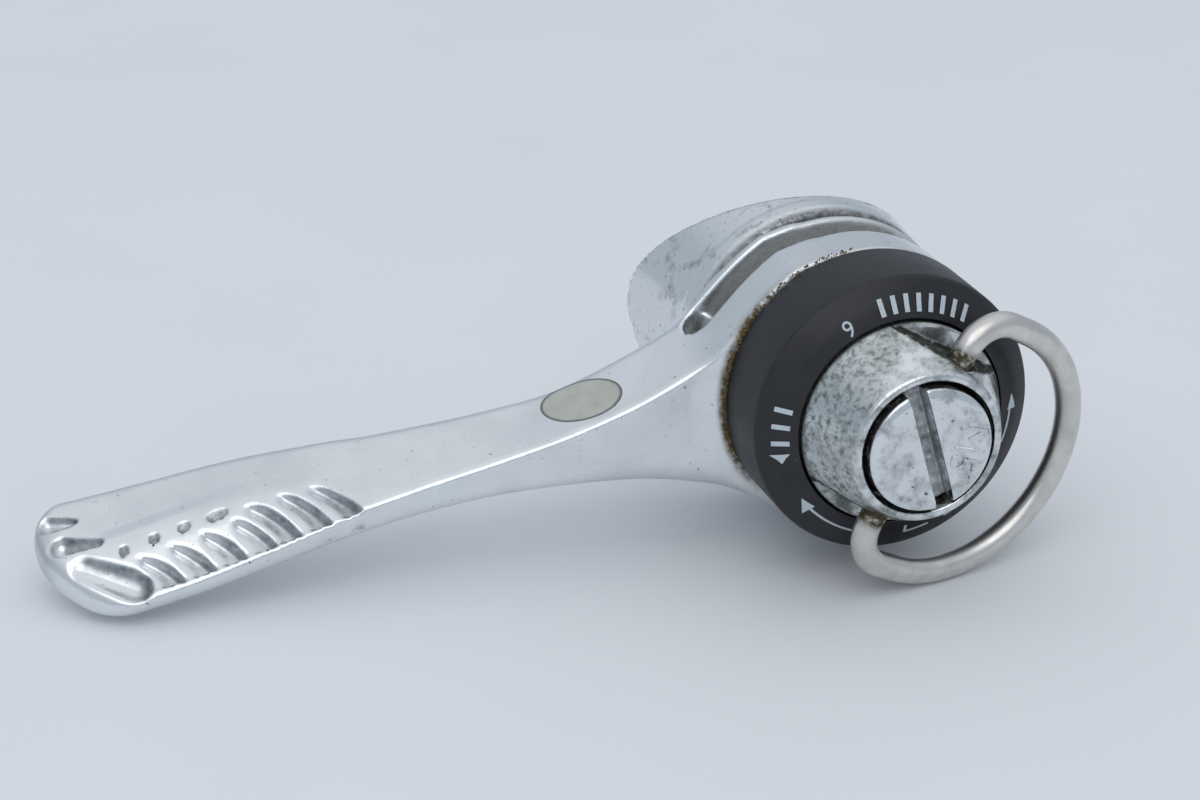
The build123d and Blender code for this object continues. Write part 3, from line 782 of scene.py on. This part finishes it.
def print_shapes(name, shapes):
    """Flat printed shapes on the dial; each is a strip of (radius, radius, degrees) cross lines."""
    points, faces = [], []
    for strip in shapes:
        start = len(points)
        for r0, r1, degrees in strip:
            for i in range(4):
                points.append(on_dial(r0 + (r1 - r0) * i / 3, degrees))
        for i in range(len(strip) - 1):
            for j in range(3):
                a = start + 4 * i + j
                faces.append((a, a + 1, a + 5, a + 4))
    piece = new_piece(name, points, faces, ink)
    weld(piece)
    face_front(piece)
    hang(piece, "base", "black_resin")


def face_front(piece):
    """Turn an open sheet so that it faces the knob's side."""
    mesh = bmesh.new()
    mesh.from_mesh(piece.data)
    bmesh.ops.reverse_faces(mesh, faces=[f for f in mesh.faces if f.normal.y > 0])
    mesh.to_mesh(piece.data)
    mesh.free()


def arc(low, high, r, width, steps=24):
    return [(r - width / 2, r + width / 2, low + (high - low) * i / steps) for i in range(steps + 1)]


def dial_ticks():
    """Row of plain ticks round the dial, set along an arc by a small tree of its own."""
    tree, given, names = new_tree("dial_ticks", {
        "Count": 9, "Radius": 10.0 * MM, "Start": 0.0, "Sweep": 1.0, "Tick width": 0.4 * MM,
        "Tick length": 1.4 * MM, "Height": 0.0, "Slope": 0.0})
    row = add(tree, "GeometryNodeMeshLine", {"Count": given["Count"], "Offset": (0, 0, 0)})
    index = add(tree, "GeometryNodeInputIndex").outputs[0]
    share = maths(tree, "DIVIDE", index, maths(tree, "SUBTRACT", given["Count"], 1.0))
    swept = maths(tree, "MULTIPLY", share, given["Sweep"])
    angle = maths(tree, "ADD", swept, given["Start"])
    tick = add(tree, "GeometryNodeMeshGrid", {"Size X": given["Tick length"],
                                              "Size Y": given["Tick width"],
                                              "Vertices X": 4, "Vertices Y": 2})
    tilt = add(tree, "ShaderNodeCombineXYZ", {"Z": given["Slope"]})
    upright = add(tree, "GeometryNodeTransform", {"Geometry": tick.outputs["Mesh"],
                                                  "Rotation": (math.pi / 2, 0, 0)})
    leaning = add(tree, "GeometryNodeTransform", {"Geometry": upright,
                                                  "Rotation": tilt})
    out = add(tree, "ShaderNodeCombineXYZ", {"X": given["Radius"], "Y": given["Height"]})
    moved = add(tree, "GeometryNodeTransform", {"Geometry": leaning,
                                                "Translation": out})
    turn = add(tree, "ShaderNodeCombineXYZ", {"Y": maths(tree, "MULTIPLY", angle, -1.0)})
    laid = add(tree, "GeometryNodeInstanceOnPoints", {"Points": row,
                                                      "Instance": moved,
                                                      "Rotation": turn})
    end_tree(tree, laid.outputs[0], ink)
    return tree, names


def ticks(name, tree, names, count, r, low, high, width=0.42, length=1.5):
    slope = math.atan2(float(dial_height(r + 0.5) - dial_height(r - 0.5)), 1.0)
    made = grow(name, bpy.data.meshes.new(name), tree, names, {
        "Count": count, "Radius": r * MM, "Start": math.radians(low), "Sweep": math.radians(high - low),
        "Tick width": width * MM, "Tick length": length * MM,
        "Height": (float(dial_height(r)) - 0.05) * MM, "Slope": slope})
    face_front(made)
    hang(made, "base", "black_resin")


def printed_text(name, text, r, degrees, height, thin, body, slot, material, flat_y=None, turn=0.0):
    """Plain letters: laid on the dial, or standing on a flat face if flat_y is given."""
    curve = bpy.data.curves.new(name, "FONT")
    curve.body = text
    curve.size = 1.0
    curve.align_x = "CENTER"
    curve.align_y = "CENTER"
    curve.resolution_u = 4
    curve.extrude = 0.5 if flat_y is not None else 0.0
    piece = bpy.data.objects.new(name, curve)
    scene.collection.objects.link(piece)
    made = plain_mesh(piece)
    made.name = name
    co = np.array([v.co for v in made.data.vertices], float)
    middle = (co.max(0) + co.min(0)) / 2
    tall = co[:, 1].max() - co[:, 1].min()
    co = (co - middle) / tall * height
    a = math.radians(degrees)
    t = math.radians(turn)
    u = co[:, 0] * math.cos(t) - co[:, 1] * math.sin(t)
    v = co[:, 0] * math.sin(t) + co[:, 1] * math.cos(t)
    if flat_y is None:
        out = r + v
        angle = a + -u / r
        p = np.stack([out * np.cos(angle), dial_height(out) - 0.025, out * np.sin(angle)], 1)
    else:
        level = np.where(co[:, 2] > 0, flat_y - thin, flat_y + thin)
        p = np.stack([r * math.cos(a) + u, level, r * math.sin(a) + v], 1)
    for vertex, q in zip(made.data.vertices, p):
        vertex.co = q * MM
    made.data.materials.clear()
    made.data.materials.append(material)
    made.data.update()
    weld(made)
    if flat_y is None:
        face_front(made)
    hang(made, body, slot)
    return made


def make_dial_marks():
    tree, names = dial_ticks()
    ticks("mode_ticks", tree, names, 3, 10.25, 168.0, 184.0)
    ticks("scale_ticks", tree, names, 8, 10.1, 58.0, 101.0)
    arrow = [[(9.6, 11.1, 189.6), (10.0, 10.6, 192.0), (10.28, 10.32, 194.3)]]
    swing = [arc(-137.0, -98.0, 10.15, 0.2),
             [(9.75, 10.9, -137.0), (9.9, 10.5, -140.5), (10.08, 10.12, -144.6)]]
    right = [arc(-20.0, -2.0, 9.95, 0.2), [(9.7, 10.6, -3.0), (9.85, 10.4, 0.6), (10.05, 10.12, 4.6)]]
    foot = [arc(-84.0, -72.0, 10.45, 0.25, 8), [(9.7, 10.5, -84.6), (9.7, 10.5, -83.2)]]
    far = [arc(-64.0, -44.0, 10.6, 0.3, 10)]
    print_shapes("dial_arrows", arrow + swing + right + foot + far)
    printed_text("dial_digit", "9", 9.75, 119.0, 1.25, 0.0, "base", "black_resin", ink)


# -------------------- knob
bail_line = np.array((-math.sin(bail_turn), 0.0, math.cos(bail_turn)))


def along_bail(x, z):
    """Distance from the pivot along the line through the bail's two holes."""
    return bail_line[0] * x + bail_line[2] * z


def knob_solid(x, y, z):
    """Hollow cone with a bolt recess, a skirt, two flats for the bail and a hole in each."""
    r = np.hypot(x, z)
    cone = (r - (knob_r + (lip_r - knob_r) * (knob_y - y) / (knob_y - lip_y))) * 0.91
    d = both(cone, lip_y - y, 0.3)
    d = both(d, y - knob_y, 0.15)
    skirt = both(both(r - skirt_r, skirt_in - r, 0.1), both(y - skirt_y, knob_y - 0.1 - y), 0.1)
    d = either(d, skirt)
    d = cut(d, both(r - recess_r, y - seat_y), 0.25)
    d = cut(d, r - knob_bore_r)
    d = cut(d, both(r - skirt_in, inside_y - y))
    across = along_bail(x, z)
    for side in (1, -1):
        flat = both(flat_out - side * across, y - (knob_y - 0.38), 0.15)
        d = cut(d, flat, 0.12)
        off = np.hypot(y - bail_y, bail_line[2] * x - bail_line[0] * z)
        d = cut(d, both(off - wire_r - bail_gap, bail_hole_in - side * across), 0.2)
    return d


def make_knob():
    knob, p = solid_piece("mode_knob_body", knob_solid, (-9.2, -13.9, -9.2), (9.2, -4.1, 9.2), 0.15,
                          knob_chrome)
    x, y, z = p.T
    r = np.hypot(x, z)
    angle = np.degrees(np.arctan2(z, x)) % 360
    # painted shade: the left side past a sharp edge at about 122 degrees, plus a fainter band before it,
    # clouds darker, standing in for the dark side of the reflection
    left = step_between(122.3, 123.2, angle) * step_between(265, 225, angle)
    left = left * step_between(-13.2, -12.9, y)
    top = 0.5 * step_between(110, 121, angle) * step_between(123, 122.5, angle)
    mark(knob, "wear_and_shade", np.clip(left + top, 0, 1))
    on_flat = step_between(0.3, 0.06, np.abs(np.abs(along_bail(x, z)) - flat_out))
    on_flat = on_flat * (y < knob_y - 0.2) * (y > lip_y + 0.2)
    # painted shadow in the gap round the bolt head, inside the lip; the two flats and the foot are also
    # marked darker
    gap = step_between(recess_r + 0.15, recess_r - 0.1, r) * step_between(lip_y + 0.2, lip_y + 0.6, y)
    foot = step_between(knob_y - 0.5, knob_y - 0.1, y) * 0.5
    mark(knob, "grime_and_shade", np.clip(on_flat + gap + foot, 0, 1))
    hang(knob, "knob", "chromed_steel", "mode_knob")


# -------------------- bail
def bail_path():
    """Points of the wire's middle line: inner ends, two bends and the round bow."""
    path = [(0.0, wire_end), (0.0, bow_r - bend_r)]
    for i in range(1, 13):
        a = math.pi / 2 * i / 12
        path.append((bend_r * (1 - math.cos(a)), bow_r - bend_r + bend_r * math.sin(a)))
    path.append((bow_centre, bow_r))
    for i in range(1, 49):
        a = math.pi * i / 48
        path.append((bow_centre + bow_r * math.sin(a), bow_r * math.cos(a)))
    half = path[:14]
    path += [(u, -w) for u, w in half[::-1]]
    lean = Matrix.Rotation(bail_tilt, 3, "Z")
    swing = Matrix.Rotation(-bail_turn, 3, "Y")
    return [swing @ (lean @ Vector((u, 0, w))) + Vector((0, bail_y, 0)) for u, w in path]


def make_bail():
    curve = bpy.data.curves.new("wire_line", "CURVE")
    curve.dimensions = "3D"
    spline = curve.splines.new("POLY")
    path = bail_path()
    spline.points.add(len(path) - 1)
    for point, q in zip(spline.points, path):
        point.co = (*(q * MM), 1.0)
    tree, given, names = new_tree("drawn_wire", {"Wire radius": 1.0 * MM, "Sides": 12}, geometry_in=True)
    even = add(tree, "GeometryNodeResampleCurve", {"Curve": given["Geometry"], "Count": 220})
    section = add(tree, "GeometryNodeCurvePrimitiveCircle", {"Resolution": given["Sides"],
                                                             "Radius": given["Wire radius"]})
    drawn = add(tree, "GeometryNodeCurveToMesh", {"Curve": even,
                                                  "Profile Curve": section,
                                                  "Fill Caps": True})
    soft = add(tree, "GeometryNodeSetShadeSmooth", {"Geometry": drawn})
    end_tree(tree, soft.outputs[0], wire_steel)
    made = grow("wire_bail", curve, tree, names, {"Wire radius": wire_r * MM, "Sides": 32})
    weld(made)
    co = np.array([v.co for v in made.data.vertices]) / MM
    along = np.abs(along_bail(co[:, 0], co[:, 2]))
    near = np.hypot(co[:, 0], co[:, 2])
    mark(made, "grime_and_shade", step_between(8.6, 7.3, along) * step_between(10.5, 8.5, near))
    hang(made, "bail", "stainless_wire", "bail")


# -------------------- bolt
def across_slot(x, z):
    a = math.radians(slot_turn)
    return math.cos(a) * x - math.sin(a) * z


def bolt_solid(x, y, z):
    """Slotted head with a shallow bevel, a plain neck, and a threaded shank with a bevelled end."""
    r = np.hypot(x, z)
    crown = both(r - bolt_head_r, bolt_top - y, 0.25)
    crown = both(crown, (0.3 * (r - bolt_head_r + 0.7) + 0.7 * (bolt_top - y)) / 0.762, 0.15)
    head = both(crown, y - bolt_seat, 0.1)
    turn = np.arctan2(z, x) / (2 * math.pi)
    phase = (y - thread_pitch * turn) / thread_pitch
    tooth = np.abs(phase - np.floor(phase) - 0.5) * 2
    core = thread_r - thread_depth * tooth * step_between(-4.4, -3.6, y)
    shank = both((r - core) * 0.75, both(y - bolt_end, bolt_seat - y), 0.2)
    shank = both(shank, r - (thread_r - 0.75) + (y - bolt_end), 0.1)
    neck = both(r - neck_r, both(y - bolt_neck, bolt_seat - y), 0.1)
    d = either(either(head, neck), shank)
    slot = both(np.abs(across_slot(x, z)) - slot_half, y - (bolt_top + slot_depth), 0.1)
    return cut(d, slot, 0.12)


def make_bolt():
    bolt, p = solid_piece("slotted_bolt", bolt_solid, (-5.6, -14.5, -5.6), (5.6, 8.5, 5.6), 0.12,
                          bolt_chrome)
    x, y, z = p.T
    # the slot's floor is marked a little darker
    floor = step_between(0.95, 0.7, np.abs(across_slot(x, z))) * (y < bolt_seat)
    floor = floor * step_between(bolt_top + 0.5, bolt_top + 1.5, y)
    # painted shadow on the head's side wall
    side = step_between(bolt_head_r - 0.12, bolt_head_r - 0.03, np.hypot(x, z))
    side = side * step_between(bolt_top + 0.35, bolt_top + 0.5, y)
    mark(bolt, "grime_and_shade", np.clip(floor * 0.35 + side, 0, 1))
    mark(bolt, "wear_and_shade", np.zeros(len(p)))
    hang(bolt, "bolt", "chromed_steel", "mounting_bolt")
    text = printed_text("thread_size", "M5", 3.0, -4.0, 2.3, 0.12, "bolt", "chromed_steel", bolt_chrome,
                        flat_y=bolt_top, turn=-106.0)
    mark(text, "grime_and_shade", np.zeros(len(text.data.vertices)))
    mark(text, "wear_and_shade", np.full(len(text.data.vertices), 0.25))


# -------------------- rear cup
def cup_solid(x, y, z):
    """Flared cup with a flat wall and a square hole, its skirt cut to sit against a tube."""
    r = np.hypot(x, z)
    wall = cup_front + cup_flare * (y - cup_rim)
    shell = both(r - wall, wall - cup_wall - r)
    shell = both(shell, cup_rim - y, 0.35)
    face = both(both(r - wall, y - cup_wall_y), cup_rim + 1.0 - y, 0.1)
    d = either(shell, face, 0.3)
    beside = -math.sin(tube_turn) * x + math.cos(tube_turn) * z
    along = math.cos(tube_turn) * x + math.sin(tube_turn) * z
    d = cut(d, np.hypot(y - cup_crown - tube_r, beside) - tube_r, 0.35)
    return cut(d, both(np.abs(along) - square / 2, np.abs(beside) - square / 2, 0.4), 0.2)


def make_cup():
    cup, p = solid_piece("boss_cup", cup_solid, (-14.6, 9.0, -14.6), (14.6, 21.5, 14.6), 0.24, cup_chrome)
    x, y, z = p.T
    r = np.hypot(x, z)
    # painted shadow: the inside and the front rim next to the drum are darkened; the rim's mark is partly
    # chipped wear and partly painted shadow
    inner = step_between(11.6, 11.0, r)
    rim = step_between(10.3, 9.5, y)
    mark(cup, "grime_and_shade", np.clip(inner * 0.5 + rim * 0.45, 0, 1))
    mark(cup, "wear_and_shade", np.clip(rim * 0.6, 0, 1))
    hang(cup, "base", "chromed_steel", "rear_cup")


# -------------------- dirt at the ring's joint
def make_crumbs():
    """Crumbs of dried dirt packed along the joint between ring and lever, scattered by a tree."""
    tree, given, names = new_tree("joint_dirt", {
        "Count": 260, "Radius": 12.1 * MM, "Start": math.radians(95), "Sweep": math.radians(130),
        "Crumb": 0.14 * MM, "Seed": 4})
    row = add(tree, "GeometryNodeMeshLine", {"Count": given["Count"], "Offset": (0, 0, 0)})

    def chance(low, high, salt):
        seed = add(tree, "ShaderNodeMath", {0: given["Seed"], 1: float(salt)}, operation="ADD")
        made = add(tree, "FunctionNodeRandomValue", data_type="FLOAT")
        made.inputs[2].default_value = low
        made.inputs[3].default_value = high
        tree.links.new(seed.outputs[0], made.inputs["Seed"])
        return made.outputs[1]

    angle = maths(tree, "MULTIPLY", chance(0, 1, 1), given["Sweep"])
    angle = maths(tree, "ADD", angle, given["Start"])
    reach = maths(tree, "ADD", given["Radius"], chance(-0.12 * MM, 0.22 * MM, 2))
    x = maths(tree, "MULTIPLY", maths(tree, "COSINE", angle), reach)
    z = maths(tree, "MULTIPLY", maths(tree, "SINE", angle), reach)
    where = add(tree, "ShaderNodeCombineXYZ", {"X": x, "Y": chance(0.02 * MM, 0.34 * MM, 3), "Z": z})
    set_out = add(tree, "GeometryNodeSetPosition", {"Geometry": row, "Position": where})
    crumb = add(tree, "GeometryNodeMeshIcoSphere", {"Radius": given["Crumb"], "Subdivisions": 1})
    rough = add(tree, "GeometryNodeInstanceOnPoints", {"Points": set_out,
                                                       "Instance": crumb.outputs["Mesh"]})
    size = add(tree, "ShaderNodeCombineXYZ", {"X": chance(0.4, 1.5, 4), "Y": chance(0.3, 1.0, 5),
                                              "Z": chance(0.4, 1.6, 6)})
    tree.links.new(size.outputs[0], rough.inputs["Scale"])
    end_tree(tree, rough.outputs[0], dry_dirt)
    for name, start, sweep, count, seed in (("joint_dirt_left", 140, 62, 230, 4),
                                            ("joint_dirt_top", 96, 46, 70, 9)):
        made = grow(name, bpy.data.meshes.new(name), tree, names, {
            "Count": count, "Start": math.radians(start), "Sweep": math.radians(sweep), "Seed": seed,
            "Radius": 12.05 * MM, "Crumb": 0.09 * MM})
        hang(made, "lever", "polished_aluminium")


# -------------------- stage
def make_camera():
    """Long lens, a little to the lever's side and above it."""
    right = Vector((0.9467, -0.3221, 0.0))
    up = Vector((0.1309, 0.3849, 0.9136))
    forward = Vector((0.2943, 0.8650, -0.4065))
    data = bpy.data.cameras.new("camera")
    data.lens = 84.0
    data.sensor_width = 36.0
    data.clip_start = 0.01
    data.clip_end = 20.0
    eye = bpy.data.objects.new("camera", data)
    turn = Matrix((right, up, -forward)).transposed().to_4x4()
    eye.matrix_world = Matrix.Translation(Vector((-89.08, -194.57, 93.26)) * MM) @ turn
    scene.collection.objects.link(eye)
    scene.camera = eye


def make_floor(level):
    size, count = 2.4, 24
    points, faces = [], []
    for i in range(count + 1):
        for j in range(count + 1):
            points.append(((i / count - 0.5) * size / MM, (j / count - 0.5) * size / MM, level / MM))
    for i in range(count):
        for j in range(count):
            a = i * (count + 1) + j
            faces.append((a, a + count + 1, a + count + 2, a + 1))
    floor = new_piece("table_top", points, faces, laminate_table())


def soft_light(name, spot, aim, width, height, watts, code):
    data = bpy.data.lights.new(name, "AREA")
    data.shape = "RECTANGLE"
    data.size, data.size_y = width, height
    data.energy = watts
    data.color = linear(code)[:3]
    lamp = bpy.data.objects.new(name, data)
    lamp.location = spot
    lamp.rotation_euler = (Vector(aim) - Vector(spot)).to_track_quat("-Z", "Y").to_euler()
    scene.collection.objects.link(lamp)


def make_light():
    world = bpy.data.worlds.new("pale_room")
    world.use_nodes = True
    tree = world.node_tree
    tree.nodes.clear()
    sky = add(tree, "ShaderNodeTexCoord").outputs["Generated"]
    height = add(tree, "ShaderNodeSeparateXYZ", {0: sky}).outputs[2]
    above = add(tree, "ShaderNodeMapRange", {0: height, 1: 0.4, 2: 0.95}, clamp=True).outputs[0]
    room = blend(tree, above, "#b4bdc8", "#e8edf2")
    glow = add(tree, "ShaderNodeBackground", {"Color": room, "Strength": 1.0})
    add(tree, "ShaderNodeOutputWorld", {"Surface": glow})
    scene.world = world
    soft_light("overhead_softbox", (-0.3, -0.7, 0.85), (0, 0, 0), 1.2, 1.0, 3.4, "#fdfcfc")
    scene.view_settings.view_transform = "Standard"


make_lever()
make_badge()
make_ring()
make_dial_marks()
make_knob()
make_bail()
make_bolt()
make_cup()
make_crumbs()
for part in frame["record"]["subparts"]:
    finish = fixed_finishes.get(part["material_slot"])
    if finish:
        nodes[part["node"]].data.materials.clear()
        nodes[part["node"]].data.materials.append(finish)
for name, finish in (("lever", aluminium), ("lever_badge", enamel), ("index_housing", ring_resin),
                     ("mode_knob", knob_chrome), ("bail", wire_steel), ("mounting_bolt", bolt_chrome),
                     ("rear_cup", cup_chrome)):
    nodes[name].data.materials.clear()
    nodes[name].data.materials.append(finish)
make_camera()
make_floor(cad_low.z)
make_light()
bpy.context.view_layer.update()
